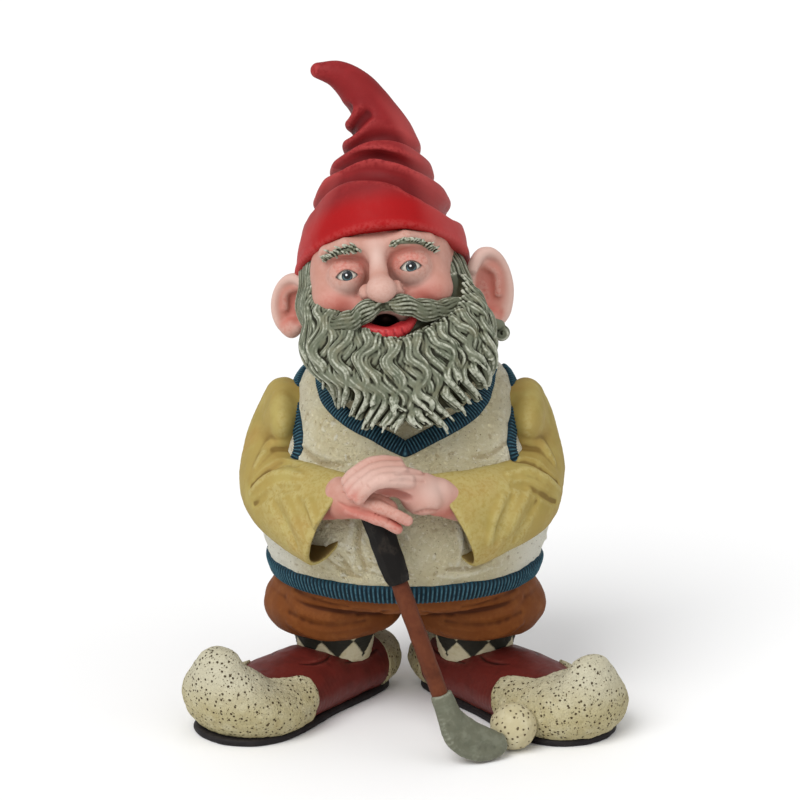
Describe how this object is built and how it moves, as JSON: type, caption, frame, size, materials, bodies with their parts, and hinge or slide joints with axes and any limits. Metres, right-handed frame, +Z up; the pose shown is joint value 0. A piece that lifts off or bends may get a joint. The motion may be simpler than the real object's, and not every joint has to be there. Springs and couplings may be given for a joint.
{
  "type": "garden gnome",
  "caption": "Bearded garden gnome in a curled pointed hat, knitted vest, wide sleeves, plus-fours and upturned two-tone shoes, leaning both hands on a golf club beside a ball.",
  "frame": {"origin": "middle of the footprint's bounding box, on the ground under the soles", "axes": "+Z up, the face looks along -Y, +X is the gnome's left (the viewer's right)"},
  "size_m": [0.1936, 0.1478, 0.2926],
  "materials": {
    "hat_red": "matte hand-painted red, crimson in the folds and pinkish on the worn rims",
    "skin": "satin painted pink with rosier cheeks, ears and knuckles",
    "hair_grey": "grey-green paint, dark olive wash between the locks, pale dry-brushed ridges",
    "lip_red": "satin painted red",
    "eye_white": "gloss white with painted blue iris and black pupil",
    "knit_cream": "cream knit texture cast in the resin, antiqued with a brown wash",
    "knit_teal": "dark teal ribbing, dry-brushed paler on its ribs",
    "sleeve_olive": "matte khaki green with ochre in the creases",
    "trouser_brown": "matte rust brown with soft folds",
    "sock_cream": "cream with a painted black diamond pattern",
    "shoe_red_brown": "oxblood red with a stitched seam line",
    "shoe_cream": "cream with a pin-holed, pitted texture",
    "sole_black": "satin black",
    "grip_black": "satin black, facetted",
    "shaft_brown": "satin terracotta brown",
    "club_grey": "dull grey-green paint that imitates steel",
    "ball_cream": "cream with small pits",
    "pin_steel": "plain bright steel, hidden inside"
  },
  "bodies": {
    "root": {"hat": "hat_red", "head": "skin", "ear_left": "skin", "ear_right": "skin", "hand_left": "skin", "hand_right": "skin", "eye_left": "eye_white", "eye_right": "eye_white", "eyebrow_left": "hair_grey", "eyebrow_right": "hair_grey", "hair": "hair_grey", "beard": "hair_grey", "moustache": "hair_grey", "lower_lip": "lip_red", "vest": "knit_cream", "neck_band": "knit_teal", "armhole_band_left": "knit_teal", "armhole_band_right": "knit_teal", "hem_band": "knit_teal", "sleeve_left": "sleeve_olive", "sleeve_right": "sleeve_olive", "trousers": "trouser_brown", "sock_left": "sock_cream", "sock_right": "sock_cream", "shoe_upper_left": "shoe_red_brown", "shoe_upper_right": "shoe_red_brown", "toe_cap_left": "shoe_cream", "toe_cap_right": "shoe_cream", "heel_cap_left": "shoe_cream", "heel_cap_right": "shoe_cream", "sole_left": "sole_black", "sole_right": "sole_black", "ankle_pin_left": "pin_steel", "ankle_pin_right": "pin_steel", "arm_pin_left": "pin_steel", "arm_pin_right": "pin_steel", "neck_pin": "pin_steel", "club_core_wire": "pin_steel", "club_grip": "grip_black", "club_shaft": "shaft_brown", "club_head": "club_grey", "golf_ball": "ball_cream"}
  },
  "joints": []
}
